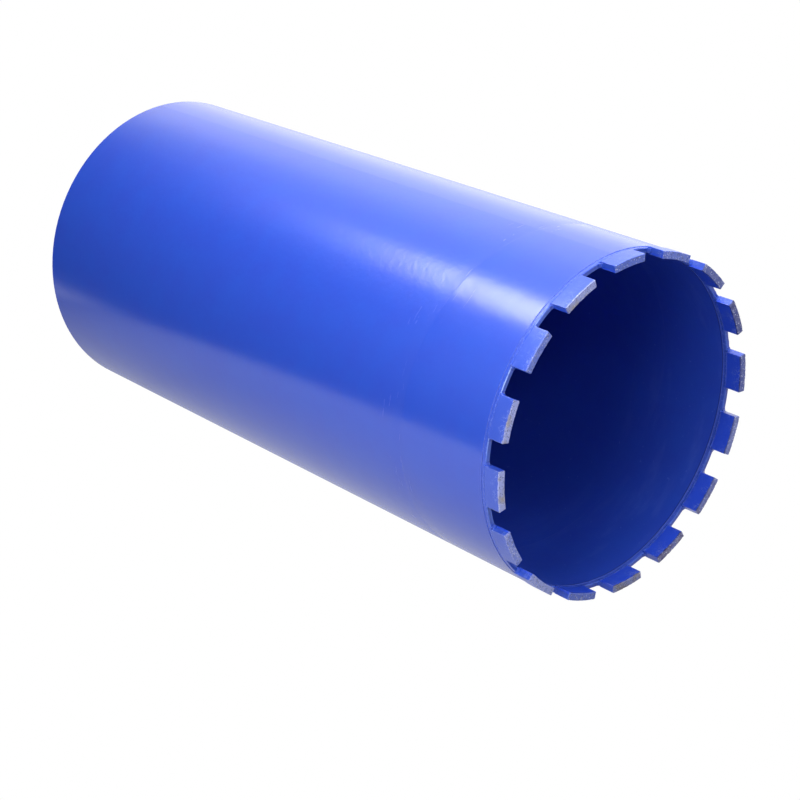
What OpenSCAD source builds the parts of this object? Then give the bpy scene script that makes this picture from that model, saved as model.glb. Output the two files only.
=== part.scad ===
// Wet diamond core bit: a steel barrel with a crown of diamond segments at its mouth,
// and a back plate and a threaded hub at its rear.
// It stands on its cutting tips: the axis is Z, the cutting plane is z = 0 and the hub points up.

/* [Barrel] */
// Outside diameter of the steel tube
tube_od = 200; // [120:1:300]
// Wall of the steel tube
tube_wall = 3.4; // [3:0.1:4]
// Length from the cutting tips to the rear rim of the tube
reach = 425; // [150:5:600]
// Depth of the land that is turned into the outside and the inside of the mouth
land_depth = 0.25; // [0.1:0.05:0.4]
// Length of the turned land behind the slot floors
land_l = 2.8; // [2:0.1:10]
// Rounding of the mouth's two edges
mouth_edge_r = 0.6; // [0.3:0.1:0.8]
// Chamfer round the outside of the rear rim
rim_chamfer = 0.8; // [0.2:0.1:2]

/* [Diamond segments] */
// Number of segments round the crown
seg_count = 16; // [10:1:18]
// Length of a segment, measured round its outer face
seg_l = 24; // [16:0.5:26]
// Height of a segment, from its tip to its foot
seg_h = 10.5; // [7:0.5:15]
// Thickness of a segment, which stands proud of the tube outside and inside
seg_t = 4.4; // [4.2:0.1:6]
// Rounding of the two ends of a segment's tip
seg_tip_r = 0.7; // [0.2:0.1:2]

/* [Brazed joints] */
// Thickness of the filler between a segment's foot and the tube
filler_t = 0.2; // [0.1:0.05:0.4]
// Radius of the bead along a segment's foot, outside and inside
bead_r = 1; // [0.7:0.05:1.1]
// Distance from the tube's mouth back to the centre of the bead
bead_back = 0.6; // [0.3:0.05:0.8]
// Depth of the bead's crest below the segment's outer and inner faces
bead_below = 0.15; // [0.05:0.05:0.3]
// Length of bead past each end of a segment
bead_over = 0.4; // [0.2:0.1:1]
// Radius of the concave fillet in the corner of a water slot
slot_fillet_r = 1.8; // [0.8:0.1:2.5]
// Thickness of filler left at the thin edges of a slot fillet
fillet_toe = 0.1; // [0.05:0.05:0.2]
// Distance that a slot fillet stops short of the land's outside and inside
fillet_inset = 0.15; // [0.1:0.05:0.25]

/* [Back plate] */
// Thickness of the plate that closes the rear of the tube
plate_t = 10; // [6:1:16]
// Depth of the plate's rear face below the tube's rear rim
plate_recess = 3; // [1:0.5:8]
// Radial gap between the plate and the tube, and between the plate and the hub
fit_gap = 0.05; // [0.02:0.01:0.2]
// Leg of the weld round the plate
rim_weld_leg = 4; // [2:0.5:6]

/* [Hub] */
// Diameter of the hub's round collar
collar_d = 50; // [48:1:70]
// Height of the collar above the plate
collar_h = 6; // [4:0.5:12]
// Width across the flats of the hub's hexagon
hex_af = 41; // [38:1:41]
// Height of the hexagon above the collar
hex_h = 22; // [14:1:40]
// Height of the chamfer at the corners of the hexagon
hex_chamfer = 2; // [0.5:0.25:3]
// Diameter of the spigot that goes through the plate
spigot_d = 36; // [34:1:44]
// Diameter of the bore, at the crests of its thread
thread_minor_d = 28.2; // [24:0.1:29]
// Width of the countersink at the bore's open end
mouth_sink = 2; // [0.5:0.25:2.5]
// Width of the countersink at the bore's inner end
inner_sink = 1; // [0.25:0.25:1.5]
// Leg of the weld round the collar
hub_weld_leg = 5; // [2:0.5:8]

/* [Hidden] */
// Smoothness of round shapes
$fn = 96;
// Overlap that keeps cuts and joins clean
eps = 0.5;

// Radii of the tube, of its turned land and of the crown of segments
tube_ro = tube_od / 2;
tube_ri = tube_ro - tube_wall;
land_ro = tube_ro - land_depth;
land_ri = tube_ri + land_depth;
seg_ro = (tube_ro + tube_ri + seg_t) / 2;
seg_ri = seg_ro - seg_t;

// Height of the tube's mouth, which is the floor of the water slots
floor_z = seg_h + filler_t;

// Angle that a segment takes, and the pitch of the crown
seg_angle = seg_l / seg_ro * 180 / PI;
seg_pitch = 360 / seg_count;

// Bead and slot fillets, as angles at the tube
bead_z = floor_z + bead_back;
bead_angle = seg_angle + 2 * bead_over / tube_ro * 180 / PI;
fillet_angle = slot_fillet_r / land_ri * 180 / PI;

// Heights of the plate's faces and of the hub's shoulders
plate_top = reach - plate_recess;
plate_bottom = plate_top - plate_t;
collar_top = plate_top + collar_h;
hub_top = collar_top + hex_h;

// Radii of the plate, the hub and its bore
plate_r = tube_ri - fit_gap;
collar_r = collar_d / 2;
spigot_r = spigot_d / 2;
bore_r = thread_minor_d / 2;
hex_corner_r = hex_af / 2 / cos(30);

// Colours of the paint and of the worn segments
paint = [0.13, 0.22, 0.78];
segment_paint = [0.24, 0.31, 0.74];

function two_digits(k) = k < 10 ? str("0", k) : str(k);
function segment_name(k) = str("segment_", two_digits(k));
function joint_name(k) = str("braze_joint_", two_digits(k));

// Corner cutter that leaves a rounding: it fills the corner at the origin, whose sides run to +x and +y
module outside_corner(r) {
    difference() {
        translate([-eps, -eps]) square(r + eps);
        translate([r, r]) circle(r);
    }
}

// Half section of the tube, with its turned land, rounded mouth and chamfered rear rim
module tube_section() {
    difference() {
        translate([tube_ri, floor_z]) square([tube_wall, reach - floor_z]);
        translate([land_ro, floor_z - eps]) square([land_depth + eps, land_l + eps]);
        translate([tube_ri - eps, floor_z - eps]) square([land_depth + eps, land_l + eps]);
        translate([land_ro, floor_z]) mirror([1, 0]) outside_corner(mouth_edge_r);
        translate([land_ri, floor_z]) outside_corner(mouth_edge_r);
        translate([tube_ro, reach]) rotate(45) square(rim_chamfer * sqrt(2), center = true);
    }
}

module barrel_tube() {
    color(paint) rotate_extrude() tube_section();
}

// Cutter for one end of a tip: the segment's end face lies at y = 0 and its body on the -y side
module tip_corner_cutter() {
    difference() {
        translate([seg_ri - eps, -seg_tip_r, -eps])
            cube([seg_t + 2 * eps, seg_tip_r + eps, seg_tip_r + eps]);
        translate([seg_ri - 2 * eps, -seg_tip_r, seg_tip_r])
            rotate([0, 90, 0]) cylinder(r = seg_tip_r, h = seg_t + 4 * eps);
    }
}

// One diamond segment, centred on the +X side
module segment_shape() {
    difference() {
        rotate([0, 0, -seg_angle / 2]) rotate_extrude(angle = seg_angle)
            translate([seg_ri, 0]) square([seg_t, seg_h]);
        rotate([0, 0, seg_angle / 2]) tip_corner_cutter();
        mirror([0, 1, 0]) rotate([0, 0, seg_angle / 2]) tip_corner_cutter();
    }
}

module segment(k) {
    color(segment_paint) rotate([0, 0, (k - 1) * seg_pitch]) segment_shape();
}

// Filler before it is cut to its seats: a block across the tube's end and a bead on either side of it
module joint_blank() {
    block_angle = seg_angle + 2 * fillet_angle;
    rotate([0, 0, -block_angle / 2]) rotate_extrude(angle = block_angle)
        translate([land_ri + fillet_inset, floor_z - slot_fillet_r])
            square([land_ro - land_ri - 2 * fillet_inset, slot_fillet_r + mouth_edge_r]);
    rotate([0, 0, -bead_angle / 2]) rotate_extrude(angle = bead_angle) {
        translate([seg_ro - bead_below - bead_r, bead_z]) circle(bead_r);
        translate([seg_ri + bead_below + bead_r, bead_z]) circle(bead_r);
    }
}

// Cutter for the hollow of a slot fillet: the segment's end face lies at y = 0 and the slot on the +y side
module slot_hollow() {
    translate([seg_ri, slot_fillet_r + fillet_toe, floor_z - slot_fillet_r - fillet_toe])
        rotate([0, 90, 0]) cylinder(r = slot_fillet_r, h = seg_t);
}

// Filler of one segment's brazed joint, seated on the tube's end and round the segment's foot
module joint_shape() {
    difference() {
        joint_blank();
        rotate_extrude() tube_section();
        rotate([0, 0, -seg_angle / 2]) rotate_extrude(angle = seg_angle)
            translate([seg_ri - eps, 0]) square([seg_t + 2 * eps, seg_h]);
        rotate([0, 0, seg_angle / 2]) slot_hollow();
        mirror([0, 1, 0]) rotate([0, 0, seg_angle / 2]) slot_hollow();
    }
}

module braze_joint(k) {
    color(paint) rotate([0, 0, (k - 1) * seg_pitch]) joint_shape();
}

// Steel disc inside the tube's rear end, with a hole for the hub's spigot
module back_plate() {
    color(paint) difference() {
        translate([0, 0, plate_bottom]) cylinder(r = plate_r, h = plate_t);
        translate([0, 0, plate_bottom - eps]) cylinder(r = spigot_r + fit_gap, h = plate_t + 2 * eps);
    }
}

// Outline of the hub as it comes off the lathe, before its flats are milled
module hub_blank() {
    hex_top_r = hex_corner_r - hex_chamfer / tan(30);
    rotate_extrude() polygon([
        [0, plate_bottom],
        [spigot_r, plate_bottom],
        [spigot_r, plate_top],
        [collar_r, plate_top],
        [collar_r, collar_top],
        [hex_corner_r, collar_top],
        [hex_corner_r, hub_top - hex_chamfer],
        [hex_top_r, hub_top],
        [0, hub_top]
    ]);
}

// Through bore with a countersink at each end
module hub_bore() {
    translate([0, 0, plate_bottom - eps]) cylinder(r = bore_r, h = hub_top - plate_bottom + 2 * eps);
    translate([0, 0, hub_top - mouth_sink])
        cylinder(r1 = bore_r, r2 = bore_r + mouth_sink + eps, h = mouth_sink + eps);
    translate([0, 0, plate_bottom - eps])
        cylinder(r1 = bore_r + inner_sink + eps, r2 = bore_r, h = inner_sink + eps);
}

module threaded_hub() {
    color(paint) difference() {
        intersection() {
            hub_blank();
            union() {
                translate([0, 0, plate_bottom - eps])
                    cylinder(r = collar_r + eps, h = collar_top - plate_bottom + eps);
                translate([0, 0, collar_top - eps])
                    cylinder(r = hex_corner_r, h = hex_h + 2 * eps, $fn = 6);
            }
        }
        hub_bore();
    }
}

// Section of a fillet weld that fills the corner at the origin, whose walls run to +x and +y
module weld_section(leg) {
    intersection() {
        square(2 * leg);
        translate([-leg, -leg]) circle(leg * sqrt(5));
    }
}

// Weld that joins the back plate to the inside of the tube
module rim_weld() {
    color(paint) rotate_extrude() translate([tube_ri, plate_top]) mirror([1, 0]) weld_section(rim_weld_leg);
}

// Weld that joins the hub's collar to the back plate
module hub_weld() {
    color(paint) rotate_extrude() translate([collar_r, plate_top]) weld_section(hub_weld_leg);
}

barrel_tube();
back_plate();
threaded_hub();
rim_weld();
hub_weld();
for (k = [1:seg_count]) {
    segment(k);
    braze_joint(k);
}
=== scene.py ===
# %% [markdown]
# # A diamond core bit
# This lesson dresses a core bit that a CAD model gives us: a painted steel barrel with sixteen
# diamond segments at its open mouth. The CAD has the exact solids. Blender adds what the eye
# looks for: sprayed enamel, worn tips, stitched filler beads, weld ripples and a real thread.
# The first cell loads the solids. They are fixed: a piece gets a better finish, or a detailed
# piece stands in for it, and nothing is moved. One unit is a metre, and the bit stands on its tips.

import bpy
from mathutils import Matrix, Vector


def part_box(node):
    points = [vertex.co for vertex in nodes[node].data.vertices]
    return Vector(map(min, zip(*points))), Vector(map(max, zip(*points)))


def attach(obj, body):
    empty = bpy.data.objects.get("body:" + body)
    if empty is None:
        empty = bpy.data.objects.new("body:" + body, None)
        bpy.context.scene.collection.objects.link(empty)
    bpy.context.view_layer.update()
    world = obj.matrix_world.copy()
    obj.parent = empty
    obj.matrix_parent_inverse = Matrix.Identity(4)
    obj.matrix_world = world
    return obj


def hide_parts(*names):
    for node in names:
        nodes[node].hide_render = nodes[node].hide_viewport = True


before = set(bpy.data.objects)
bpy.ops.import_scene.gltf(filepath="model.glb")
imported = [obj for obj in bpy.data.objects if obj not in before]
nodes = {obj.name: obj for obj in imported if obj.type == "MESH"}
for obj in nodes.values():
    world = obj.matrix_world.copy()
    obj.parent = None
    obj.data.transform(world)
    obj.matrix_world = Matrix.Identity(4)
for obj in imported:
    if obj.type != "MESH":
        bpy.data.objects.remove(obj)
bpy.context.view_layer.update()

# %% Blender's own modules
import bpy
import math
from mathutils import Matrix, Vector, noise

MM = 0.001
print("Blender", bpy.app.version_string)

# %% [markdown]
# ## Three directions to light by
# The bit stands on its tips in the model, but it was photographed lying on a white table with
# its mouth towards the camera. Studio lights are easier to place in the table's terms, so this
# cell names the three directions that were "back along the barrel", "to the far side" and "up".
# A small function turns such a place into a point of the model.

# %% Directions of the table
BACK = Vector((0.0, 0.0, 1.0))
FAR = Vector((-0.0589, 0.9983, 0.0))
UP = Vector((0.9983, 0.0589, 0.0))


def table_point(back, far, up):
    """A point given in metres along the barrel, towards the far side, and up from the axis."""
    return BACK * back + FAR * far + UP * up


print("a metre above the mouth is", [round(v, 3) for v in table_point(0, 0, 1)])

# %% [markdown]
# ## The camera
# A camera was fitted to the corners of the teeth and the outline of the barrel, so the render
# can be laid over the photograph. It stands about a metre from the mouth with an 85 mm lens.
# A Blender camera looks along its own -Z with +Y up, so its matrix is built from three
# directions: right, up and backwards. The tiny shift is the fitted centre of the picture.

# %% Camera
CAMERA_AT = Vector((0.47046, -0.69738, -0.61758))
CAMERA_LOOK = Vector((-0.43556, 0.58746, 0.68204)).normalized()
CAMERA_TOP = Vector((0.89909, 0.32091, 0.29775))
SENSOR, LENS = 36, 85.03
SHIFT_X, SHIFT_Y = 0.0014, 0.002

lens = bpy.data.cameras.new("photo_camera")
lens.sensor_width, lens.lens = SENSOR, LENS
lens.shift_x, lens.shift_y = SHIFT_X, SHIFT_Y
camera = bpy.data.objects.new("photo_camera", lens)
right = CAMERA_LOOK.cross(CAMERA_TOP).normalized()
top = right.cross(CAMERA_LOOK)
turn = Matrix((right, top, -CAMERA_LOOK)).transposed().to_4x4()
camera.matrix_world = Matrix.Translation(CAMERA_AT) @ turn
bpy.context.scene.collection.objects.link(camera)
bpy.context.scene.camera = camera
bpy.context.scene.view_settings.view_transform = "Standard"
print("the camera is", round(CAMERA_AT.length, 3), "m from the mouth")

# %% [markdown]
# ## Five helpers
# Colours are written as the hex values that a colour picker shows (sRGB), and shaders want
# linear light, so one function converts them. Another starts an empty material. The third adds
# a shader node with its settings and its inputs: an input is a value, an output of an earlier
# node, or the node itself, which stands for its first output. The fourth makes the soft step that
# nearly every mark needs, and the last one puts an object into the scene.

# %% Colour and node helpers


def linear(hex_colour):
    """The linear colour of a hex value such as #2D54CE."""
    parts = [int(hex_colour[i : i + 2], 16) / 255 for i in (1, 3, 5)]
    return [p / 12.92 if p <= 0.04045 else ((p + 0.055) / 1.055) ** 2.4 for p in parts] + [1.0]


def new_material(name):
    """An empty material, and its node tree."""
    material = bpy.data.materials.new(name)
    material.use_nodes = True
    material.node_tree.nodes.clear()
    return material, material.node_tree


def add(tree, kind, inputs=None, **settings):
    """Adds one shader node with its settings and inputs."""
    made = tree.nodes.new("ShaderNode" + kind)
    for name, value in settings.items():
        setattr(made, name, value)
    for name, value in (inputs or {}).items():
        if isinstance(value, bpy.types.Node):
            value = value.outputs[0]
        if isinstance(value, bpy.types.NodeSocket):
            tree.links.new(value, made.inputs[name])
        else:
            made.inputs[name].default_value = value
    return made


def between(tree, value, none, full):
    """A soft step along value: 0 up to none, and 1 from full on, which may be the lower one."""
    ends = {"Value": value, "From Min": none, "From Max": full}
    return add(tree, "MapRange", ends, interpolation_type="SMOOTHSTEP")


def put(name, data):
    """A new object in the scene."""
    made = bpy.data.objects.new(name, data)
    bpy.context.scene.collection.objects.link(made)
    return made


print("mid grey in linear light", round(linear("#808080")[0], 3))

# %% [markdown]
# ## White room
# The photograph is on pure white. Rays from the camera, and the reflections in gloss and metal,
# see a white world of strength 1. The light that the world throws on the object is much less
# than that, so that the lamps model the round barrel.

# %% World
AMBIENT = 0.22

world = bpy.data.worlds.new("white_room")
world.use_nodes = True
world.cycles.sampling_method = "NONE"
bpy.context.scene.world = world
tree = world.node_tree
tree.nodes.clear()
path = add(tree, "LightPath")
seen = 0.0
for ray in ("Is Camera Ray", "Is Glossy Ray", "Is Transmission Ray"):
    seen = add(tree, "Math", {0: seen, 1: path.outputs[ray]}, operation="MAXIMUM")
level = add(tree, "MapRange", {"Value": seen, "To Min": AMBIENT, "To Max": 1.0})
sky = add(tree, "Background", {"Color": linear("#FFFFFF"), "Strength": level})
add(tree, "OutputWorld", {"Surface": sky})
print("the world lights the object at", AMBIENT)

# %% [markdown]
# ## Cards to mirror
# A glossy barrel mirrors its studio: the long highlight is a softbox overhead, the pale belly is
# the table, and the dark flank is the unlit room beside the camera. Each is a flat card here,
# with a strength at each corner that blends across it. Cards are seen by reflections only. They
# give no light, cast no shadow and are clear from behind, so no other view meets one.

# %% Card maker
CRISP = (0.001, 0.001)


def fading(tree, shader, gone):
    """Ends a material that is clear where gone is 1."""
    clear = add(tree, "BsdfTransparent")
    both = add(tree, "MixShader", {0: gone, 1: shader, 2: clear})
    add(tree, "OutputMaterial", {"Surface": both})


def card(name, corners, strengths, soft=CRISP):
    """A flat card with a strength at each corner. soft is the faded part of each of its sides."""
    mesh = bpy.data.meshes.new(name)
    mesh.from_pydata([table_point(*corner) for corner in corners], [], [(0, 1, 2, 3)])
    layer = mesh.uv_layers.new(name="along")
    for loop, uv in zip(layer.data, ((0, 0), (0, 1), (1, 1), (1, 0))):
        loop.uv = uv
    material, tree = new_material(name)
    u, v, _ = add(tree, "SeparateXYZ", {0: add(tree, "UVMap", uv_map="along")}).outputs
    a, b, c, d = strengths
    first = add(tree, "MapRange", {"Value": v, "To Min": a, "To Max": b})
    last = add(tree, "MapRange", {"Value": v, "To Min": d, "To Max": c})
    level = add(tree, "Mix", {0: u, 2: first, 3: last})
    gone = add(tree, "NewGeometry").outputs["Backfacing"]
    for place, width in zip((u, v), soft):
        near_edge = add(tree, "Math", {0: place, 1: 0.5}, operation="PINGPONG")
        faint = between(tree, near_edge, width, 0.0)
        gone = add(tree, "Math", {0: gone, 1: faint}, operation="MAXIMUM")
    fading(tree, add(tree, "Emission", {"Strength": level}), gone)
    mesh.materials.append(material)
    made = put(name, mesh)
    for ray in ("visible_camera", "visible_shadow", "visible_diffuse", "visible_transmission"):
        setattr(made, ray, False)


print("the sides of a crisp card fade over", CRISP, "of it")

# %% [markdown]
# Corners are metres back, far and up, and the strengths belong to them in their order.
# The softbox hangs above and behind the bit. The table is bright at its edge and dims under the
# bit. The ceiling and the walls make one long room that is bright beside the mouth and dark at
# the camera's left. Each of them lies between two lines that run back along the room, so a row
# names its two lines, and says where it starts and ends on each. A strength of 0 is an unlit
# part of the room, which hides the white world.

# %% Cards
SOFTBOX_LINES = (-0.07, 1.5), (-0.7, 1.5)
FAR_LOW, FAR_TOP, MID_TOP = (1.5, -0.1), (1.5, 1.7), (-0.1, 1.7)
NEAR_TOP, NEAR_MID, NEAR_LOW = (-1.5, 1.7), (-1.5, 0.0), (-1.5, -1.2)
FRONT, SEAM, END = (0.0, 0.0), (2.3, 2.3), (8.0, 8.0)
GLOW_END, DARK_FROM, DARK_LOW = (1.5, 1.05), (2.05, 1.33), (1.33, 1.33)
TABLE = -0.101
ROOM = (
    ("wall_far", FAR_LOW, FAR_TOP, (-0.6, -0.6), SEAM, (2.1, 2.1, 1.65, 1.65)),
    ("wall_far_rear", FAR_LOW, FAR_TOP, SEAM, END, (1.65, 1.65, 1.65, 1.65)),
    ("ceiling_far", FAR_TOP, MID_TOP, FRONT, SEAM, (2.5, 1.95, 0.45, 1.9)),
    ("ceiling_far_rear", FAR_TOP, MID_TOP, SEAM, END, (1.8, 0.05, 0.05, 1.8)),
    ("ceiling_near", MID_TOP, NEAR_TOP, FRONT, SEAM, (1.65, 4.0, 0.0, 0.05)),
    ("ceiling_near_rear", MID_TOP, NEAR_TOP, SEAM, END, (0.05, 0.0, 0.0, 0.05)),
    ("wall_near_front", NEAR_TOP, NEAR_MID, FRONT, GLOW_END, (1.75, 0.3, 0.3, 1.75)),
    ("wall_near", NEAR_TOP, NEAR_MID, GLOW_END, DARK_FROM, (1.75, 0.3, 0.0, 0.0)),
    ("wall_near_low", NEAR_MID, NEAR_LOW, FRONT, DARK_LOW, (0.3, 0.3, 0.0, 0.0)),
    ("wall_near_rear", NEAR_TOP, NEAR_MID, DARK_FROM, END, (0.0, 0.0, 0.0, 0.0)),
    ("wall_near_rear_low", NEAR_MID, NEAR_LOW, DARK_LOW, END, (0.0, 0.0, 0.0, 0.0)),
)


def strip(first, last, starts, ends):
    """Corners of a card between two lines, from its starts to its ends."""
    return [(starts[0], *first), (starts[1], *last), (ends[1], *last), (ends[0], *first)]


softbox = strip(*SOFTBOX_LINES, (0.71, 0.71), (1.59, 1.59))
card("softbox", softbox, (17.2, 17.2, 15.0, 15.0), (0.3, 0.24))
table = [(-0.05, -0.8, TABLE), (-0.05, 0.0, TABLE), (0.62, 0.3, TABLE), (0.62, -0.12, TABLE)]
table_rear = [(0.62, -0.12, TABLE), (0.62, 0.3, TABLE), (2.4, 0.84, TABLE), (2.4, 0.4, TABLE)]
card("table", table, (4.0, 0.45, 0.15, 0.15))
card("table_rear", table_rear, (0.15, 0.15, 0.15, 0.15))
for name, *lines, strengths in ROOM:
    card(name, strip(*lines), strengths)
print("the softbox and", 2 + len(ROOM), "dim cards")

# %% [markdown]
# ## Lamps
# Seven square lamps give the matt part of the light, and none shows in a reflection. One is
# close overhead, one is beside the camera, and two in front of the mouth reach the tips and the
# bore. Because they are near, the light falls off along the barrel. A low one stands for the
# light that the table throws back. The last two are for other views: one is behind the hub and
# one lights the side that lies on the table in the photograph.

# %% Lamps
LAMPS = {
    "overhead": ((0.13, 0.05, 0.62), 0.4, 4.35),
    "side": ((-0.06, -0.56, 0.25), 0.3, 1.9),
    "front_near": ((-0.83, -0.22, 0.7), 0.3, 1.2),
    "front_far": ((-0.6, 0.5, 0.8), 0.4, 1.9),
    "bounce": ((0.25, -0.8, -0.05), 0.5, 1.3),
    "rear": ((1.9, 0.15, 0.25), 0.8, 10),
    "fill": ((0.5, 0.55, -1.0), 0.8, 9),
}
AIM = table_point(0.1, 0, 0)

for name, (place, size, power) in LAMPS.items():
    light = bpy.data.lights.new(name, "AREA")
    light.size, light.energy = size, power
    lamp = put(name, light)
    lamp.location = table_point(*place)
    lamp.rotation_euler = (AIM - lamp.location).to_track_quat("-Z", "Y").to_euler()
    lamp.visible_camera = lamp.visible_glossy = False
print(len(LAMPS), "lamps")

# %% [markdown]
# ## Pale floor
# Views from above need something to stand on. The floor is a pale disc just under the tips that
# fades out at its rim, and it keeps the soft shadow of the bit. It is drawn from above only, so
# the photograph's camera, which looks up at the mouth, sees straight through it. Most of its
# brightness is its own, so that the lamps leave no bright pools on it, and it throws no light or
# shadow on the bit.

# %% Floor
FLOOR_RADIUS, FLOOR_POINTS = 1.1, 96
FLOOR_DROP = 0.2 * MM
FADE_FROM, FADE_TO = 0.3, 0.9
OWN_LIGHT, OWN_SHARE = 0.9, 0.7


def polar(radius, angle, height):
    """A point at that radius and angle from the axis, and at that height."""
    return Vector((radius * math.cos(angle), radius * math.sin(angle), height))


turns = [2 * math.pi * i / FLOOR_POINTS for i in range(FLOOR_POINTS)]
rim = [polar(FLOOR_RADIUS, angle, -FLOOR_DROP) for angle in turns]
mesh = bpy.data.meshes.new("floor")
mesh.from_pydata(rim, [], [tuple(range(FLOOR_POINTS))])
material, tree = new_material("pale_floor")
spot = add(tree, "TexCoord").outputs["Object"]
reach = add(tree, "VectorMath", {0: spot}, operation="LENGTH").outputs["Value"]
under = add(tree, "NewGeometry").outputs["Backfacing"]
faded = between(tree, reach, FADE_FROM, FADE_TO)
gone = add(tree, "Math", {0: faded, 1: under}, operation="MAXIMUM")
grain = add(tree, "TexNoise", {"Vector": spot, "Scale": 1 / (25 * MM)})
tint = add(tree, "MapRange", {"Value": grain, "To Min": 0.86, "To Max": 0.9})
paper = add(tree, "BsdfDiffuse", {"Color": tint})
own = add(tree, "Emission", {"Strength": OWN_LIGHT})
paper = add(tree, "MixShader", {0: OWN_SHARE, 1: paper, 2: own})
fading(tree, paper, gone)
mesh.materials.append(material)
floor = put("floor", mesh)
for ray in ("visible_shadow", "visible_diffuse", "visible_glossy", "visible_transmission"):
    setattr(floor, ray, False)
print("floor", 2 * FLOOR_RADIUS, "m across")

# %% [markdown]
# ## Sizes of the mouth
# The finish changes at places that the CAD knows: the slot floors, where the tube ends, and the
# shoulder behind the shallow land that is turned into the mouth, outside and inside. Sizes are in
# millimetres from here on. What a piece's box can tell is read from the frame.

# %% Sizes in millimetres


def corners(node):
    """The lowest and the highest corner of a CAD piece, in millimetres."""
    return [[round(v / MM, 2) for v in corner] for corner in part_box(node)]


SLOT_FLOOR = corners("barrel_tube")[0][2]
LAND_OUT, LAND_IN, LAND_END = 99.75, 96.85, 13.5
WALL_FROM, WALL_TO = 97.4, 98.6
print("the slot floors are", SLOT_FLOOR, "mm above the tips")

# %% [markdown]
# ## Sprayed blue enamel
# The barrel is drawn steel tube, sprayed with royal-blue enamel. Enamel is a clear hard resin
# full of pigment: a deep diffuse colour under a smooth clear face, with an index near 1.5. The
# eye reads three things in it. Sprayed paint dries with "orange peel", soft dimples a few
# millimetres apart. The mouth was rubbed down after brazing and sprayed again, so a smoother
# band ends in a slanted line 67 mm behind the tips. And the bore got only what drifted in, which
# is duller.
#
# Every mark on it is a mask, a value from 0 where the mark isn't to 1 where it is. This finish
# and the later ones share six helpers: the places on the bit, the distance from one of them, the
# sum and the overlap of masks, colours laid over each other, and the end of a material.

# %% Enamel colours and helpers for masks
ENAMEL, ENAMEL_DEEP = "#2D54CE", "#2F4FCA"
ENAMEL_SCUFF_AND_LIGHT, ENAMEL_SHADE = "#6C86E6", "#16267C"
ENAMEL_IOR = 1.5


def places(tree):
    """The shaded point, its x, y and z, its offset from the axis, and its radius, in mm."""
    metres = add(tree, "TexCoord").outputs["Object"]
    spot = add(tree, "VectorMath", {0: metres, "Scale": 1 / MM}, operation="SCALE")
    x, y, z = add(tree, "SeparateXYZ", {0: spot}).outputs
    flat = add(tree, "CombineXYZ", {"X": x, "Y": y})
    radius = add(tree, "VectorMath", {0: flat}, operation="LENGTH").outputs["Value"]
    return spot, x, y, z, flat, radius


def away(tree, value, place):
    """How far a value is from a place, either way."""
    off = add(tree, "Math", {0: value, 1: place}, operation="SUBTRACT")
    return add(tree, "Math", {0: off}, operation="ABSOLUTE")


def sums(tree, *terms):
    """The sum of value * weight for each (value, weight)."""
    total = 0.0
    for value, weight in terms:
        inputs = {0: value, 1: weight, 2: total}
        total = add(tree, "Math", inputs, operation="MULTIPLY_ADD")
    return total


def overlap(tree, mask, *others):
    """The product of masks, which is 1 only where all of them are."""
    for other in others:
        mask = add(tree, "Math", {0: mask, 1: other}, operation="MULTIPLY")
    return mask


def layered(tree, under, *layers):
    """A colour with others laid over it in turn, each as (mask, strength, colour)."""
    under = linear(under) if isinstance(under, str) else under
    for mask, strength, over in layers:
        over = linear(over) if isinstance(over, str) else over
        inputs = {0: sums(tree, (mask, strength)), 6: under, 7: over}
        under = add(tree, "Mix", inputs, data_type="RGBA").outputs[2]
    return under


def finished(tree, looks, height):
    """Ends a material: a bump of that height in mm under a shader with those inputs."""
    relief = add(tree, "Bump", {"Height": height, "Strength": 1.0, "Distance": MM})
    shader = add(tree, "BsdfPrincipled", {**looks, "Normal": relief})
    add(tree, "OutputMaterial", {"Surface": shader})


print("enamel in linear light", [round(v, 3) for v in linear(ENAMEL)[:3]])

# %% Places on the barrel
BAND_END, BAND_STEP_WIDTH = 67.2, 0.2
BAND_SLANT, BAND_WANDER = 0.0933, 0.2
GROUND_BLEND = 0.1

enamel, tree = new_material("sprayed_blue_enamel")
spot, _, y, z, flat, radius = places(tree)
outside = between(tree, radius, WALL_FROM, WALL_TO)
inside = add(tree, "Math", {0: 1.0, 1: outside}, operation="SUBTRACT")
wander = add(tree, "TexNoise", {"Vector": spot, "Scale": 1 / 14, "Detail": 2.0})
slant = sums(tree, (z, 1.0), (y, BAND_SLANT), (wander, BAND_WANDER))
behind = between(tree, slant, BAND_END - BAND_STEP_WIDTH, BAND_END + BAND_STEP_WIDTH)
ground = between(tree, z, LAND_END + GROUND_BLEND, LAND_END - GROUND_BLEND)
print("the smooth band ends about", round(BAND_END), "mm behind the tips")

# %% [markdown]
# Orange peel is a bump of two noises, 3.2 mm and 1.5 mm apart. A noise swings over about a third
# of its weight, so a weight of 0.05 mm makes dimples under 0.02 mm deep. The steel under the paint
# has fine dents from polishing that run round the barrel, so their noise is stretched: it changes
# every 2 mm along Z and every 4 mm across. A broad swell of 8 mm comes from rolling the tube.
# Both make the edges of the highlight ragged. The smooth band ends in a sharp step of 0.06 mm.

# %% Relief of the enamel
PEEL, FINE_PEEL, PEEL_IN_BAND = 0.05, 0.015, 0.75
DENTS, SWELL, GROUND_GRAIN, BAND_STEP = 0.038, 0.045, 0.12, 0.06

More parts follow.
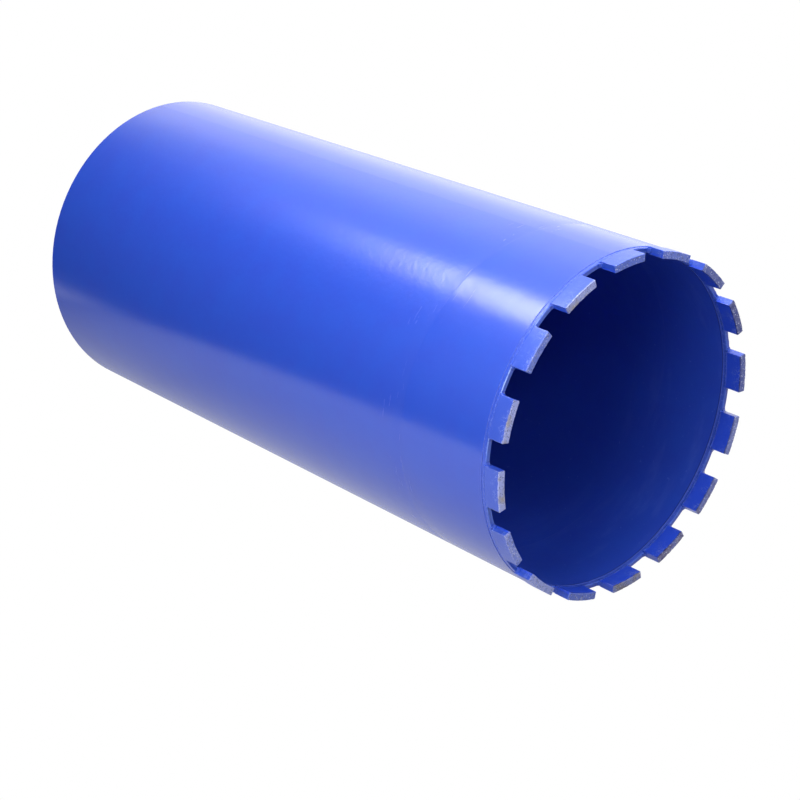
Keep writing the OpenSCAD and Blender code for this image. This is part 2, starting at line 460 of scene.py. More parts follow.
peel = add(tree, "TexNoise", {"Vector": spot, "Scale": 1 / 3.2, "Detail": 1.0})
fine_peel = add(tree, "TexNoise", {"Vector": spot, "Scale": 1 / 1.5, "Detail": 1.0})
polished = add(tree, "Mapping", {"Vector": spot, "Scale": (1 / 4, 1 / 4, 1 / 2)})
dents = add(tree, "TexNoise", {"Vector": polished, "Scale": 1.0, "Detail": 0.5})
swell = add(tree, "TexNoise", {"Vector": spot, "Scale": 1 / 8, "Detail": 0.0})
fleck = add(tree, "TexNoise", {"Vector": spot, "Scale": 1 / 1.3, "Detail": 3.0, "Roughness": 0.6})
peel_height = sums(tree, (peel, PEEL), (fine_peel, FINE_PEEL))
peel_share = sums(tree, (behind, 1 - PEEL_IN_BAND), (PEEL_IN_BAND, 1.0))
height = sums(
    tree,
    (overlap(tree, peel_height, peel_share), 1.0),
    (overlap(tree, fleck, ground), GROUND_GRAIN),
    (dents, DENTS),
    (swell, SWELL),
    (behind, -BAND_STEP),
)
print("orange peel", round(PEEL / 3, 3), "mm deep")

# %% [markdown]
# The paint has pulled into the corner of the shoulder, and the paler line there is painted light
# that lifts the shade of its step. The land is scuffed, and pale flecks on the shoulder and the
# land are chips and painted glints. The inner land is painted paler: painted light. Near the end of
# the band it has a few fine rubbed lines. Inside, faint pale arcs behind the mouth are a painted
# reflection of the mouth, among specks of dust, and the groove at the inner shoulder is painted
# darker: painted shade.

# %% Marks on the barrel
blotch = add(tree, "TexNoise", {"Vector": spot, "Scale": 1 / 22, "Detail": 4.0, "Roughness": 0.65})
streak = add(tree, "Mapping", {"Vector": spot, "Scale": (1 / 22, 1 / 22, 1 / 1.6)})
streak = add(tree, "TexNoise", {"Vector": streak, "Scale": 1.0, "Detail": 3.0, "Roughness": 0.6})
near_band_end = between(tree, away(tree, slant, BAND_END), 26, 8)
rubbed = overlap(
    tree, near_band_end, between(tree, streak, 0.61, 0.68), between(tree, blotch, 0.5, 0.6)
)
# The shoulder line is painted paler: painted light that lifts the shade of its step.
shoulder = between(tree, away(tree, z, LAND_END), 0.34, 0.1)
shoulder_and_land = sums(tree, (shoulder, 0.6), (ground, 0.5))
# Pale flecks on the shoulder and the land: chips, and painted glints.
chips_and_glints = overlap(tree, between(tree, fleck, 0.56, 0.66), shoulder_and_land)
# The inner land is painted paler: painted light.
inner_land_light = overlap(tree, inside, ground)
# Faint pale arcs round the bore behind the mouth: a painted reflection of the mouth.
around = add(tree, "VectorMath", {0: flat}, operation="NORMALIZE")
arc_x, arc_y, _ = add(tree, "SeparateXYZ", {0: around}).outputs
drift = add(tree, "CombineXYZ", {"X": arc_x, "Y": arc_y, "Z": z})
drift = add(tree, "Mapping", {"Vector": drift, "Scale": (2.5, 2.5, 1 / 9)})
drift = add(tree, "TexNoise", {"Vector": drift, "Scale": 1.0, "Detail": 4.0, "Roughness": 0.6})
behind_the_mouth = between(tree, z, 110, 25)
mouth_reflection_arcs = overlap(tree, inside, between(tree, drift, 0.5, 0.72), behind_the_mouth)
dust = add(tree, "TexNoise", {"Vector": spot, "Scale": 1 / 2.4, "Detail": 2.0})
dust = overlap(tree, inside, between(tree, dust, 0.7, 0.76))
# The inner groove is painted darker: painted shade at its step.
groove = between(tree, away(tree, z, LAND_END + 0.4), 0.5, 0.2)
groove = overlap(tree, inside, groove)
# Paler enamel: painted light at the shoulder and the inner land, a painted reflection in the arcs,
# and real rubbed lines and dust.
pale = sums(
    tree, (shoulder, 0.55), (rubbed, 0.06), (inner_land_light, 0.25), (mouth_reflection_arcs, 0.14), (dust, 0.3)
)
print(len(tree.nodes), "nodes for places, relief and marks")

# %% [markdown]
# The floors of the slots are painted paler as painted light. Their inner edge is a little paler all
# round, and the whole floor is paler on the side that the light reaches. Their outer edge has a
# painted glint of pale blue on nearly the same side, in flecks, and hardly at all elsewhere. A side
# is a direction from the axis.

# %% Painted light on the floors of the slots
LIT_SIDE, GLINT_SIDE = (0.42, -0.91), (0.56, -0.83)

floor_edge = between(tree, z, SLOT_FLOOR + 0.7, SLOT_FLOOR + 0.3)
outer_edge = between(tree, radius, LAND_OUT - 0.5, LAND_OUT - 0.3)
inner_edge = between(tree, radius, LAND_IN + 1.1, LAND_IN + 0.6)
# The lit side gets the paler floors, and the glint side gets the painted glint on the outer edge.
lit_floor, glinting = [
    between(tree, sums(tree, (arc_x, side_x), (arc_y, side_y)), none, full)
    for (side_x, side_y), none, full in ((LIT_SIDE, 0.68, 0.82), (GLINT_SIDE, 0.9, 0.98))
]
glinting = sums(tree, (glinting, 0.85), (0.12, 1.0))
outer_glint = overlap(tree, outer_edge, glinting, between(tree, fleck, 0.3, 0.5), floor_edge)
pale_floor = overlap(tree, floor_edge, sums(tree, (lit_floor, 0.3), (inner_edge, 0.3)))
# The side printed here is where the painted glint on the outer edges is strongest.
print("the floors are worn most towards", GLINT_SIDE)

# %% [markdown]
# The gloss follows the same places: smoother in the band, a little rougher behind it, dull in
# the bore, and hazy where it has rubbed on something. Along the end of the band the paint has
# built up and is glossier. The colour moves only a little: a deeper blue where the coat is thick,
# a paler one in scuffs and dust, and painted light: paler along the shoulder, on the inner land, in
# the arcs of the bore and on the slot floors, a painted glint on their outer edges, and painted
# shade in the inner groove.

# %% Gloss and colour of the barrel
FLOOR_BLUE, GLINT_BLUE = "#5F8CFC", "#A9C4FC"

built_up = between(tree, slant, BAND_END - 11, BAND_END - 1)
built_up = add(tree, "Math", {0: built_up, 1: behind}, operation="SUBTRACT", use_clamp=True)
just_behind = between(tree, slant, BAND_END + 14, BAND_END)
gloss = sums(
    tree,
    (behind, 0.005),
    (built_up, -0.04),
    (overlap(tree, behind, just_behind), 0.04),
    (rubbed, 0.1),
    (blotch, 0.03),
    (ground, 0.08),
    (inside, 0.155),
    (shoulder, 0.18),
    (0.205, 1.0),
)
# Layers: a deeper blue; pale enamel for scuffs, dust and painted light; the floors' painted light;
# the painted glint; painted shade in the groove.
tone = layered(
    tree,
    ENAMEL,
    (between(tree, blotch, 0.2, 0.8), 1.0, ENAMEL_DEEP),
    (sums(tree, (pale, 1.0), (chips_and_glints, 1.0)), 1.0, ENAMEL_SCUFF_AND_LIGHT),
    (pale_floor, 1.0, FLOOR_BLUE),
    (outer_glint, 1.0, GLINT_BLUE),
    (groove, 0.65, ENAMEL_SHADE),
)
finished(tree, {"Base Color": tone, "Roughness": gloss, "IOR": ENAMEL_IOR}, height)
nodes["barrel_tube"].data.materials.clear()
nodes["barrel_tube"].data.materials.append(enamel)
print(len(tree.nodes), "nodes in the barrel's paint")

# %% [markdown]
# ## Making pieces from rings
# Most of the detailed pieces are sweeps: a bead along a foot, a weld round a plate, a hub off the
# lathe. Each is a list of rings of points that are joined by quads, so one function skins them
# all, and another turns the skin into a piece that rides on the model and stands for its solid.

# %% Skin and piece makers


def skin(rings, loop=False):
    """Points and faces of a list of rings, with capped ends, or joined into a loop."""
    points = [p for ring in rings for p in ring]
    size, count = len(rings[0]), len(rings)
    faces = []
    for i in range(count if loop else count - 1):
        for j in range(size):
            a, b = i * size + j, i * size + (j + 1) % size
            c, d = (i + 1) % count * size + (j + 1) % size, (i + 1) % count * size + j
            faces.append((a, b, c, d))
    if not loop:
        faces.append(tuple(reversed(range(size))))
        faces.append(tuple(range((count - 1) * size, count * size)))
    return points, faces


def joined(*skins):
    """Several skins as the points and faces of one mesh."""
    points, faces = [], []
    for more_points, more_faces in skins:
        faces += [tuple(len(points) + n for n in face) for face in more_faces]
        points += more_points
    return points, faces


def add_piece(name, shape, materials, sharp_from, replaced):
    """A mesh piece from points in millimetres, with edges sharp from that many degrees on."""
    points, faces = shape
    mesh = bpy.data.meshes.new(name)
    mesh.from_pydata([Vector(p) * MM for p in points], [], faces)
    for material in materials:
        mesh.materials.append(material)
    mesh.shade_smooth()
    mesh.set_sharp_from_angle(angle=math.radians(sharp_from))
    made = put(name, mesh)
    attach(made, "root")
    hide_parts(replaced)
    return made


print("two square rings give", len(skin([[0] * 4, [0] * 4])[1]), "faces with caps")

# %% [markdown]
# ## Shape of a diamond segment
# A segment is pressed from bronze and cobalt powder with diamond grit in it, sintered, and ground
# to the curve of the barrel. A pressed block is never quite crisp: its edges are broken and its
# faces wander by a few hundredths of a millimetre. The block is built as a fine grid of points so
# that it has room for that, with the rounded tip corners that the CAD gives it.

# %% Block of a segment
SEGMENTS = 16
SEG_OUT, _, SEG_HEIGHT = corners("segment_01")[1]
SEG_IN, SEG_LENGTH = 96.1, 24.0
SEG_MIDDLE = (SEG_OUT + SEG_IN) / 2
TIP_ROUND = 0.7
CELL, EDGE = 0.42, 0.22
HALF = (SEG_LENGTH / 2, (SEG_OUT - SEG_IN) / 2, SEG_HEIGHT / 2)


def grid_lines(half):
    """Grid lines from -half to half that lie closer together at the two broken edges."""
    count = round(2 * half / CELL)
    inner = [-half + EDGE + (2 * half - 2 * EDGE) * i / count for i in range(count + 1)]
    outer = [half - 0.35 * EDGE, half]
    return [-s for s in reversed(outer)] + inner + outer


def tip_corner(p):
    """Rounds the two ends of the tip, which is at the low end of the third direction."""
    across, down = abs(p.x) - (HALF[0] - TIP_ROUND), -p.z - (HALF[2] - TIP_ROUND)
    if min(across, down) <= 0:
        return p
    shrink = max(across, down) / math.hypot(across, down)
    x = math.copysign(HALF[0] - TIP_ROUND + across * shrink, p.x)
    return Vector((x, p.y, TIP_ROUND - HALF[2] - down * shrink))


def block():
    """Points of a rounded block, the outward direction at each, and the faces."""
    lines = [grid_lines(h) for h in HALF]
    last = [len(line) - 1 for line in lines]
    points, outward, faces, known = [], [], [], {}
    for a, b, c in ((0, 1, 2), (1, 2, 0), (2, 0, 1)):
        for end in (0, last[c]):
            for i in range(last[a]):
                for j in range(last[b]):
                    quad = []
                    for di, dj in ((0, 0), (1, 0), (1, 1), (0, 1)):
                        place = [0, 0, 0]
                        place[a], place[b], place[c] = i + di, j + dj, end
                        key = tuple(place)
                        if key not in known:
                            known[key] = len(points)
                            p = Vector([line[n] for line, n in zip(lines, key)])
                            core = [max(EDGE - h, min(h - EDGE, s)) for s, h in zip(p, HALF)]
                            core = Vector(core)
                            outward.append((p - core).normalized())
                            points.append(tip_corner(core + outward[-1] * EDGE))
                        quad.append(known[key])
                    faces.append(tuple(quad if end else reversed(quad)))
    return points, outward, faces


block_points, block_outward, block_faces = block()
print("a segment has", len(block_points), "points and", len(block_faces), "faces")

# %% [markdown]
# Each segment bends the block to the barrel's curve and moves its points a little inwards. The
# moves come from noise at the point's own place, so no two segments are alike, and every run
# agrees. Chips are kept to the edges of the tip, where the stone breaks grit away.

# %% Segments
WANDER, WAVE, FINE_WAVE = 0.07, 2.3, 0.8
CHIP, CHIP_SIZE, CHIP_REACH = 0.45, 1.1, 0.8


def worn_by(p, spot):
    """How far a point of the block has worn inwards."""
    waves = 0.5 * noise.noise(spot / WAVE) + 0.25 * noise.noise(spot / FINE_WAVE)
    to_tip = p.z + HALF[2]
    to_side = min(HALF[1] - abs(p.y), HALF[0] - abs(p.x))
    near_edge = max(0.0, 1 - (to_tip + to_side) / CHIP_REACH)
    chip = max(0.0, noise.noise(spot / CHIP_SIZE + Vector((7, 3, 5))) - 0.05) * CHIP
    return (0.5 + waves) * WANDER + near_edge * chip


def segment_shape(turn_to):
    """Points and faces of the segment at that angle."""
    placed = []
    for p, outward in zip(block_points, block_outward):
        spot = polar(SEG_OUT + p.y, turn_to + p.x / SEG_OUT, p.z)
        q = p - outward * worn_by(p, spot)
        height = max(0.0, q.z + HALF[2])
        placed.append(polar(SEG_OUT - HALF[1] + q.y, turn_to + q.x / SEG_OUT, height))
    return placed, block_faces


segment_shapes = [segment_shape(2 * math.pi * n / SEGMENTS) for n in range(SEGMENTS)]
print(len(segment_shapes), "segment shapes")

# %% [markdown]
# ## Shape of a brazed joint
# Each segment stands on its own joint. The photograph shows it as a stitched bead along the foot,
# outside and inside, where the beam or torch moved on in steps of about 1.2 mm, and as a hollow
# fillet in each corner of the water slots. A thin film of filler joins them under the foot. All
# are sweeps: the beads run along the arc, and the fillets run through the wall.

# %% Beads
BEAD_R, BEAD_Z, BEAD_SINK = 1.0, 11.3, 0.15
BEAD_REACH, BEAD_END = SEG_LENGTH / 2 + 0.4, 0.6
BEAD_FROM, BEAD_TURN, BEAD_SIDES = -62, 138, 11
STITCH, STITCH_STEPS, STITCH_RISE = 1.24, 7, 0.11
ROOT_REACH, ROOT_TOP, ROOT_FOOT = 0.1, 0.8, 0.5


def stitch(along, seed):
    """Swelling of the bead at a place along it, as stitches of uneven size."""
    number = math.floor(along / STITCH)
    part = along / STITCH - number
    size = 0.8 + 0.5 * noise.noise(Vector((number * 1.7, seed * 3.1, 0.5)))
    return size * (math.sin(math.pi * part ** 0.8) - 0.55)


def bead(turn_to, centre, side, seed):
    """A stitched bead along one foot. side is 1 outside and -1 inside."""
    steps = round(2 * BEAD_REACH / STITCH * STITCH_STEPS)
    seen = [math.radians(BEAD_FROM + BEAD_TURN * j / BEAD_SIDES) for j in range(BEAD_SIDES + 1)]
    rings = []
    for i in range(steps + 1):
        along = -BEAD_REACH + 2 * BEAD_REACH * i / steps
        end = min(1.0, (BEAD_REACH - abs(along)) / BEAD_END)
        shrink = math.sqrt(max(0.02, 1 - (1 - end) ** 2))
        r = (BEAD_R + STITCH_RISE * stitch(along + seed, seed)) * shrink
        middle = BEAD_Z + 0.1 * noise.noise(Vector((along / 2.5, seed * 5.3, 2.0)))
        angle = turn_to + along / SEG_OUT
        face = [(centre + side * r * math.cos(t), middle + r * math.sin(t)) for t in seen]
        ring = [polar(radius, angle, height) for radius, height in face]
        root = centre + side * ROOT_REACH
        ring += [polar(root, angle, middle + up * shrink) for up in (ROOT_TOP, -ROOT_FOOT)]
        rings.append(ring if side > 0 else list(reversed(ring)))
    return skin(rings)


outer_bead = SEG_OUT - BEAD_SINK - BEAD_R
inner_bead = SEG_IN + BEAD_SINK + BEAD_R
print("about", round(2 * BEAD_REACH / STITCH), "stitches in a bead")

# %% Slot fillets and the film under the foot
FILLET_R, FILLET_STEPS, TOE = 1.8, 8, 0.1
FILL_IN, FILL_OUT = 97.0, 99.6
BACK_SINK, FOOT_LAP = 0.05, 2.0
FILLET_RINGS = (
    (FILL_IN, 0.7), (FILL_IN + 0.1, 0.93), (FILL_IN + 0.35, 1.0), ((FILL_IN + FILL_OUT) / 2, 1.02),
    (FILL_OUT - 0.35, 1.0), (FILL_OUT - 0.1, 0.93), (FILL_OUT, 0.7),
)
FILM_STEPS = 24


def slot_fillet(turn_to, side):
    """The hollow fillet at one end of a segment. side is 1 or -1 round the barrel."""
    face = turn_to + side * SEG_LENGTH / 2 / SEG_OUT
    arc = [math.radians(90 * j / FILLET_STEPS) for j in range(FILLET_STEPS + 1)]
    deep = TOE + FILLET_R
    hollow = [(deep - FILLET_R * math.cos(t), deep - FILLET_R * math.sin(t)) for t in arc]
    rings = []
    for radius, shrink in FILLET_RINGS:
        outline = [(-BACK_SINK, SLOT_FLOOR - FOOT_LAP * shrink)]
        outline += [(out * shrink, SLOT_FLOOR - down * shrink) for out, down in hollow]
        outline += [(out, SLOT_FLOOR + BACK_SINK) for out in (FOOT_LAP * shrink, -BACK_SINK)]
        ring = [polar(radius, face + side * out / radius, height) for out, height in outline]
        rings.append(ring if side > 0 else list(reversed(ring)))
    return skin(rings)


def film(turn_to):
    """The filler between the foot and the end of the tube."""
    rings = []
    for i in range(FILM_STEPS + 1):
        angle = turn_to + (2 * i / FILM_STEPS - 1) * SEG_LENGTH / 2 / SEG_OUT
        foot = [polar(radius, angle, SEG_HEIGHT) for radius in (FILL_IN, FILL_OUT)]
        rings.append(foot + [polar(radius, angle, SLOT_FLOOR) for radius in (FILL_OUT, FILL_IN)])
    return skin(rings)


def joint_shape(number):
    """Beads, fillets and film of one joint."""
    turn_to = 2 * math.pi * number / SEGMENTS
    return joined(
        bead(turn_to, outer_bead, 1, number + 0.3),
        bead(turn_to, inner_bead, -1, number + 20.7),
        slot_fillet(turn_to, 1),
        slot_fillet(turn_to, -1),
        film(turn_to),
    )


joint_shapes = [joint_shape(n) for n in range(SEGMENTS)]
print("a joint has", len(joint_shapes[0][1]), "faces")

# %% [markdown]
# ## Bare sintered metal under worn enamel
# A segment was sprayed with the barrel, and then its tip was dressed on a stone. So each has two
# finishes: bare metal on the tip and a millimetre up its sides, and enamel above that. Sintered
# bronze and cobalt is a dull grey to golden metal, with a grain of pores and grit near 0.4 mm.
# The metal keeps Blender's default index. Metallic and roughness are mixed by the same mask as
# the colour, so that one shader gives both finishes and their ragged border.

# %% Places on a segment
PITCH = 2 * math.pi / SEGMENTS

segment_finish, tree = new_material("enamelled_sintered_segment")
spot, x, y, z, _, radius = places(tree)
angle = add(tree, "Math", {0: y, 1: x}, operation="ARCTAN2")
angle = sums(tree, (angle, 1.0), (PITCH / 2, 1.0))
angle = add(tree, "Math", {0: angle, 1: PITCH}, operation="FLOORED_MODULO")
along = away(tree, angle, PITCH / 2)
through = away(tree, radius, SEG_MIDDLE)
to_end = sums(tree, (along, -SEG_OUT), (SEG_LENGTH / 2, 1.0))
to_face = sums(tree, (through, -1.0), ((SEG_OUT - SEG_IN) / 2, 1.0))
print("a segment's middle is", SEG_MIDDLE, "mm from the axis")

# %% [markdown]
# The distance to the nearest edge is the middle one of the distances to the tip, to the faces
# and to the ends: on any face one of the three is zero, and the next one leads to an edge.

# %% Wear of a segment
BARE_RAGGED, BARE_RISE = 1.7, 0.15

least = add(tree, "Math", {0: to_end, 1: to_face}, operation="MINIMUM")
most = add(tree, "Math", {0: to_end, 1: to_face}, operation="MAXIMUM")
to_edge = add(tree, "Math", {0: least, 1: z}, operation="MAXIMUM")
to_edge = add(tree, "Math", {0: to_edge, 1: most}, operation="MINIMUM")
ragged = add(tree, "TexNoise", {"Vector": spot, "Scale": 1 / 2.6, "Detail": 4.0, "Roughness": 0.6})
patchy = add(tree, "TexNoise", {"Vector": spot, "Scale": 1 / 9, "Detail": 2.0})
bare = sums(tree, (z, 1.0), (ragged, -BARE_RAGGED), (BARE_RISE, 1.0))
bare = between(tree, bare, 0.28, -0.12)
patches = between(tree, patchy, 0.4, 0.6)
edge_wear_and_glint = between(tree, to_edge, 0.34, 0.1)
edge_wear_and_glint = overlap(tree, edge_wear_and_glint, between(tree, ragged, 0.42, 0.62))
scuffed = overlap(tree, between(tree, ragged, 0.5, 0.72), patches)
print("bare metal reaches about a millimetre up the sides")

# %% [markdown]
# Sprayed mist still hangs on many tips, more on some than on others. Some tips have a warm tint
# of bronze, and tips are painted darker, most on one half of the mouth: painted shade. So each
# segment carries its own shares of the three as attributes, which the shader reads. The grit is
# drawn at 0.8 mm, about twice its real size, so that it shows: one cell in five is a pale crystal,
# and one in three a pore.

# %% Metal of a segment
METAL, METAL_GOLD, METAL_RUST = "#9DA6DE", "#A29A98", "#8E6E68"
TIP_SHADE, MIST = "#2C3A85", "#5270DE"
PORE, CRYSTAL = "#5C6188", "#D6D9EE"
GRIT = 0.8
SHARES = {
    "mist": (1.3, 0.75, 0.45, 0.1, 0.4, 0.2, 0.3, 0.05, 0.1, 0.8, 0.5, 0.65, 0.1, 0.2, 0.75, 0.2),
    "warm": (0.0, 0.0, 0.3, 0.7, 0.3, 0.2, 0.6, 0.9, 0.65, 0.1, 0.0, 0.0, 0.5, 0.4, 0.1, 0.5),
    "tip_shade": (0.85, 0.6, 1.2, 1.3, 1.25, 0.85, 1.0, 1.0, 0.4, 0.3, 0.0, 0.1, 0.0, 0.0, 0.3, 0.15),
}

mist, warm, tip_shade = [
    add(tree, "Attribute", attribute_name=name).outputs["Fac"] for name in SHARES
]
cell = add(tree, "TexVoronoi", {"Vector": spot, "Scale": 1 / GRIT, "Randomness": 1.0}, feature="F1")
chance = add(tree, "SeparateColor", {0: cell.outputs["Color"]})
core = between(tree, cell.outputs["Distance"], 0.55, 0.25)
crystal = overlap(tree, between(tree, chance, 0.78, 0.84), core)
pore = overlap(tree, between(tree, chance, 0.36, 0.28), core)
golden = between(tree, sums(tree, (patchy, 1.2), (warm, 0.5), (ragged, 0.3)), 0.95, 1.3)
rusty = overlap(tree, between(tree, warm, 0.55, 1.0), between(tree, ragged, 0.5, 0.66))
# Painted shade on the tips, in ragged patches, by each segment's share.
shaded_tips = overlap(tree, sums(tree, (ragged, 0.8), (0.2, 1.0)), tip_shade)
misty = between(tree, sums(tree, (mist, 1.0), (ragged, 0.9), (-0.95, 1.0)), -0.12, 0.4)
metal = layered(
    tree,
    METAL,
    (golden, 1.0, METAL_GOLD),
    (rusty, 1.0, METAL_RUST),
    (shaded_tips, 1.0, TIP_SHADE),
    (misty, 0.75, MIST),
    (pore, 0.9, PORE),
    (crystal, 0.75, CRYSTAL),
)
print("mist on segment 1", SHARES["mist"][0])

# %% [markdown]
# The enamel of a segment has thin curled scratches near its tip, where grit and stone dust ran
# over it. A contour line of a noise is such a curl, so the scratches are where a noise is just
# at its middle value. Edges are a paler blue in places, partly rubbed and partly a painted
# highlight on the rounded edges, and the inner faces are a brighter blue.

# %% Scratched enamel of a segment
COAT, COAT_INSIDE = "#3457CE", "#2F55E4"
SCRATCH, RUBBED_EDGE_AND_GLINT = "#93A6EE", "#9AA6DC"
INNER_FROM, INNER_TO = 98.0, 97.0

curl = add(tree, "TexNoise", {"Vector": spot, "Scale": 1 / 2.2, "Detail": 2.0})
curl = between(tree, away(tree, curl, 0.5), 0.03, 0.012)
near_tip = between(tree, z, 7, 1.5)
scratched = overlap(tree, curl, overlap(tree, patches, near_tip))
coat = layered(
    tree,
    COAT,
    (between(tree, radius, INNER_FROM, INNER_TO), 1.0, COAT_INSIDE),
    (scuffed, 0.35, ENAMEL_SCUFF_AND_LIGHT),
    (scratched, 0.6, SCRATCH),
    # Paler edges: rubbing, and a painted highlight on the rounded edges.
    (edge_wear_and_glint, 0.6, RUBBED_EDGE_AND_GLINT),
)
height = sums(
    tree, (ragged, 0.04), (crystal, 0.03), (pore, -0.04), (scratched, -0.01), (bare, -0.03)
)
looks = {
    "Base Color": layered(tree, coat, (bare, 1.0, metal)),
    "Metallic": sums(tree, (bare, 0.7), (misty, -0.3)),
    "Roughness": sums(
        tree, (bare, 0.18), (scuffed, 0.14), (scratched, 0.15), (ragged, 0.05), (0.28, 1.0)
    ),
}
finished(tree, looks, height)

for n, shape in enumerate(segment_shapes):
    solid = f"segment_{n + 1:02d}"
    piece = add_piece("worn_" + solid, shape, [segment_finish], 60, solid)
    for name, shares in SHARES.items():
        layer = piece.data.attributes.new(name, "FLOAT", "POINT")
        layer.data.foreach_set("value", [shares[n]] * len(piece.data.vertices))
print(SEGMENTS, "segments")

# %% [markdown]
# ## Enamelled filler
# The filler is a silver-bearing bronze that can't be seen: the same blue enamel lies over it,
# thinner on the crests of the stitches and thicker between them. The crests are paler, partly
# rubbed and partly a painted highlight.

# %% Joints
CREST = "#8FA4F0"

filler, tree = new_material("enamelled_braze_filler")
spot, *_, radius = places(tree)
rubbed = add(tree, "TexNoise", {"Vector": spot, "Scale": 1 / 1.5, "Detail": 3.0})
crest = between(tree, away(tree, radius, (LAND_OUT + LAND_IN) / 2), 1.75, 2.05)
# Paler crests: rubbing, and a painted highlight on the stitches.
paler_rub_and_glint = overlap(tree, crest, between(tree, rubbed, 0.45, 0.65))
looks = {
    "Base Color": layered(tree, ENAMEL, (paler_rub_and_glint, 0.25, CREST)),
    "Roughness": sums(tree, (rubbed, 0.12), (0.18, 1.0)),
    "IOR": ENAMEL_IOR,
}
finished(tree, looks, sums(tree, (rubbed, 0.02)))
for n, shape in enumerate(joint_shapes, 1):
    solid = f"braze_joint_{n:02d}"
    add_piece(f"stitched_joint_{n:02d}", shape, [filler], 50, solid)

# %% [markdown]
# ## Enamel over the rear
# The back plate, the hub and the two welds were sprayed too. Their enamel is the barrel's, over
# other marks: turning grooves on the plate, and a fine mill grain on the hub. The grooves are
# really about 0.3 mm apart, which a picture of the whole bit can't show, so they are drawn at 1.2.

# %% Rear enamel
GROOVE = 1.2


def rear_enamel(name, groove_depth, peel_depth):
    """The barrel's enamel with turning grooves round the axis and orange peel, in millimetres."""
    material, tree = new_material(name)
    spot, *_, radius = places(tree)
    drift = add(tree, "TexNoise", {"Vector": spot, "Scale": 1 / 20})
    wave = sums(tree, (radius, 2 * math.pi / GROOVE), (drift, 3.0))
    groove = add(tree, "Math", {0: wave}, operation="SINE")
    peel = add(tree, "TexNoise", {"Vector": spot, "Scale": 1 / 3.5, "Detail": 2.0})
    height = sums(tree, (groove, groove_depth), (peel, peel_depth))
    blotch = add(tree, "TexNoise", {"Vector": spot, "Scale": 1 / 18, "Detail": 4.0})
    rubbed = between(tree, blotch, 0.56, 0.74)
    deep = between(tree, blotch, 0.3, 0.7)
    tone = layered(tree, ENAMEL, (deep, 1.0, ENAMEL_DEEP), (rubbed, 0.15, ENAMEL_SCUFF_AND_LIGHT))
    gloss = sums(tree, (rubbed, 0.12), (blotch, 0.06), (0.25, 1.0))
    finished(tree, {"Base Color": tone, "Roughness": gloss, "IOR": ENAMEL_IOR}, height)
    return material


plate_paint = rear_enamel("sprayed_enamel_on_turned_plate", 0.004, 0.012)
hub_paint = rear_enamel("sprayed_enamel_on_hub", 0.001, 0.012)
weld_paint = rear_enamel("sprayed_enamel_on_weld", 0.0, 0.03)
nodes["back_plate"].data.materials.clear()
nodes["back_plate"].data.materials.append(plate_paint)
print("grooves every", GROOVE, "mm")

# %% [markdown]
# ## Welds with ripples
# Two fillet welds hold the rear together. A weld pool freezes in steps, so its face is a row of
# crescents about 2.4 mm apart, each a little over the one before, and it wanders slightly. Each
# weld runs once round and ends over its own start, in a low lump. The section is the CAD's.

# %% Welds
PLATE_TOP = corners("back_plate")[1][2]
TUBE_IN, _, RIM_WELD_TOP = corners("rim_weld")[1]
COLLAR_R, _, HUB_TOP = corners("threaded_hub")[1]
HUB_WELD_TOP = corners("hub_weld")[1][2]
RIPPLE, RIPPLE_STEPS, FACE_STEPS = 2.4, 7, 10
RIPPLE_RISE, LAP_RISE, WELD_WANDER = 0.16, 0.35, 0.06
LAP_AT, LAP_LENGTH = 4.0, 5
ROOT_SINK = 0.2


def weld_shape(corner_radius, leg, side, seed):
    """A rippled fillet weld in the corner at the plate. side is 1 where its leg runs outwards."""
    length = 2 * math.pi * (corner_radius + side * leg / 2)
    count = round(length / RIPPLE) * RIPPLE_STEPS
    low, high = math.atan2(1, 2), math.atan2(2, 1)
    rings = []
    for i in range(count):
        turn_to = 2 * math.pi * i / count
        round_spot = Vector((math.cos(turn_to), math.sin(turn_to), seed))
        wander = WELD_WANDER * leg * noise.noise(round_spot * 9)
        lap = math.exp(-((turn_to - LAP_AT) * length / 2 / math.pi / LAP_LENGTH) ** 2)
        ring = []
        for j in range(FACE_STEPS + 1):
            part = j / FACE_STEPS
            slope = low + (high - low) * part
            phase = i / RIPPLE_STEPS + 1.1 * (part - 0.5) ** 2 + 0.25 * noise.noise(round_spot * 23)
            ripple = RIPPLE_RISE * math.sin(math.pi * (phase - math.floor(phase)) ** 0.7)
            swell = ripple - RIPPLE_RISE / 2 + wander + LAP_RISE * lap
            reach = leg * math.sqrt(5) + math.sin(math.pi * part) ** 0.6 * swell
            ring.append((reach * math.cos(slope) - leg, reach * math.sin(slope) - leg))
        ring += [(-ROOT_SINK, leg), (-ROOT_SINK, -ROOT_SINK), (leg, -ROOT_SINK)]
        placed = [polar(corner_radius + side * out, turn_to, PLATE_TOP + up) for out, up in ring]
        rings.append(placed if side < 0 else list(reversed(placed)))
    return skin(rings, loop=True)


rim_weld = weld_shape(TUBE_IN, RIM_WELD_TOP - PLATE_TOP, -1, 1.0)
hub_weld = weld_shape(COLLAR_R, HUB_WELD_TOP - PLATE_TOP, 1, 2.0)
add_piece("rippled_rim_weld", rim_weld, [weld_paint], 60, "rim_weld")
add_piece("rippled_hub_weld", hub_weld, [weld_paint], 60, "hub_weld")
print("ripples every", RIPPLE, "mm")

# %% [markdown]
# ## The threaded hub
# The hub is turned from hexagon bar: a spigot through the plate, a round collar, and the hexagon
# with its corners chamfered on the lathe. Its bore has a real 1 1/4 inch thread with 7 turns to
# the inch. Every ring of the skin goes once round the hub at one height, so a hexagon, a circle
# and a thread are all only a radius that depends on the angle, and the thread's on the height too.

# %% Hub
HUB_FOOT = corners("threaded_hub")[0][2]
COLLAR_TOP = 428.0
SPIGOT_R, BORE_R, THREAD_R = 18.0, 14.1, 15.8
HEX_HALF, HEX_CHAMFER, CHAMFER_STEPS = 20.5, 2.0, 12
TURN, RINGS_A_TURN = 25.4 / 7, 20
HUB_POINTS = 192


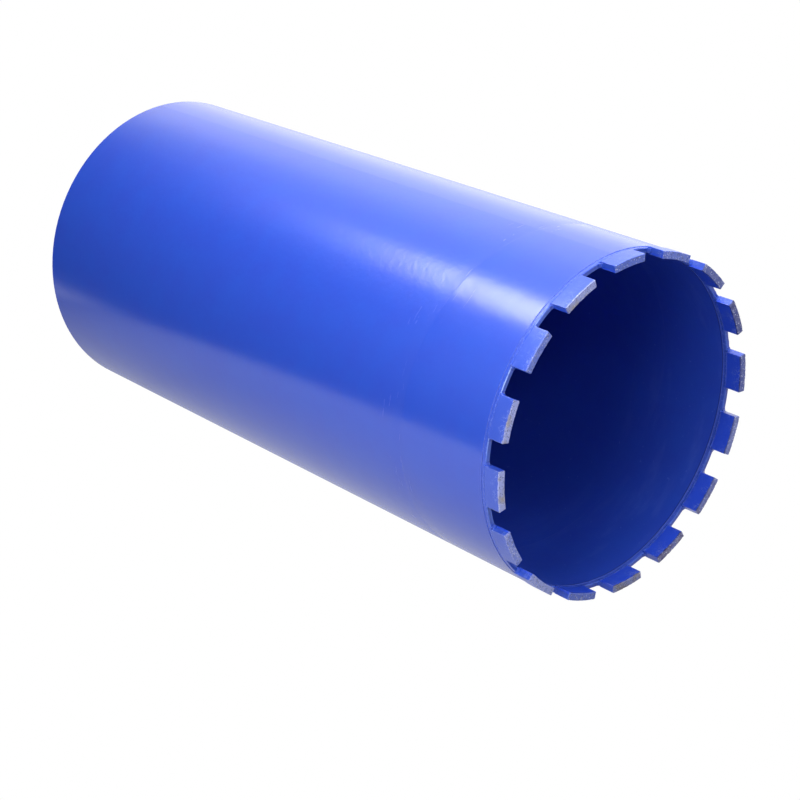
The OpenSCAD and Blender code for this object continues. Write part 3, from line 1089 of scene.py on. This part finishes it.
def hexagon(angle, height):
    """Radius of the hexagon, where its chamfer doesn't cut it."""
    off = (angle + math.pi / 6) % (math.pi / 3) - math.pi / 6
    cut = HEX_CHAMFER - (HUB_TOP - height)
    cone = HEX_HALF / math.cos(math.pi / 6) - cut / math.tan(math.pi / 6)
    return min(HEX_HALF / math.cos(off), cone)


def thread(angle, height):
    """Radius of the bore, with its thread and the countersinks at its ends."""
    part = (height - TURN * angle / (2 * math.pi)) / TURN % 1.0
    flank = (0.5 - abs(part - 0.5) - 0.14) / 0.29
    groove = BORE_R + (THREAD_R - BORE_R) * max(0.0, min(1.0, flank))
    return max(groove, BORE_R + height - HUB_TOP + 2, BORE_R + HUB_FOOT + 1 - height)


def hub_shape():
    """The hub as rings: up the outside, over the top and down the bore."""
    levels = [(HUB_FOOT, SPIGOT_R - 0.3), (HUB_FOOT + 0.3, SPIGOT_R), (PLATE_TOP, SPIGOT_R)]
    levels += [(PLATE_TOP, COLLAR_R), (COLLAR_TOP - 0.8, COLLAR_R)]
    levels += [(COLLAR_TOP - 0.25, COLLAR_R - 0.2), (COLLAR_TOP, COLLAR_R - 0.8)]
    levels += [(COLLAR_TOP, hexagon), (COLLAR_TOP + 0.3, hexagon)]
    for i in range(CHAMFER_STEPS + 1):
        levels.append((HUB_TOP - HEX_CHAMFER * (1 - i / CHAMFER_STEPS), hexagon))
    steps = round((HUB_TOP - HUB_FOOT) / TURN * RINGS_A_TURN)
    levels += [(HUB_TOP - (HUB_TOP - HUB_FOOT) * i / steps, thread) for i in range(steps + 1)]
    angles = [2 * math.pi * n / HUB_POINTS for n in reversed(range(HUB_POINTS))]
    rings = []
    for height, form in levels:
        reach = form if callable(form) else lambda a, h: form
        rings.append([polar(reach(a, height), a, height) for a in angles])
    return skin(rings, loop=True)


hub_skin = hub_shape()
print("the hub has", len(hub_skin[1]), "faces")

# %% [markdown]
# The bore is masked when the bit is sprayed, so the thread stays bare: bright cut steel that has
# been oiled. It is a metal, so it keeps the default index, and its roughness is low. The cutter
# left four fine marks a millimetre along the bore.

# %% Cut steel
STEEL, OILED_STEEL = "#A3A6AB", "#6E6A66"
BARE_TO = THREAD_R + 0.4

cut_steel, tree = new_material("oiled_cut_steel")
spot, *_ = places(tree)
cut = add(tree, "Mapping", {"Vector": spot, "Scale": (0.06, 0.06, 4)})
cut = add(tree, "TexNoise", {"Vector": cut, "Scale": 1.0, "Detail": 2.0})
oil = add(tree, "TexNoise", {"Vector": spot, "Scale": 1 / 5, "Detail": 3.0})
oiled = between(tree, oil, 0.35, 0.7)
looks = {
    "Base Color": layered(tree, STEEL, (oiled, 1.0, OILED_STEEL)),
    "Metallic": 1.0,
    "Roughness": sums(tree, (cut, 0.12), (oil, 0.1), (0.18, 1.0)),
}
finished(tree, looks, sums(tree, (cut, 0.01)))

finishes = [hub_paint, cut_steel]
hub = add_piece("threaded_hub_detail", hub_skin, finishes, 24, "threaded_hub")
for face in hub.data.polygons:
    in_the_bore = math.hypot(face.center.x, face.center.y) < BARE_TO * MM
    face.material_index = 1 if in_the_bore else 0
print("bare faces in the bore", sum(face.material_index for face in hub.data.polygons))
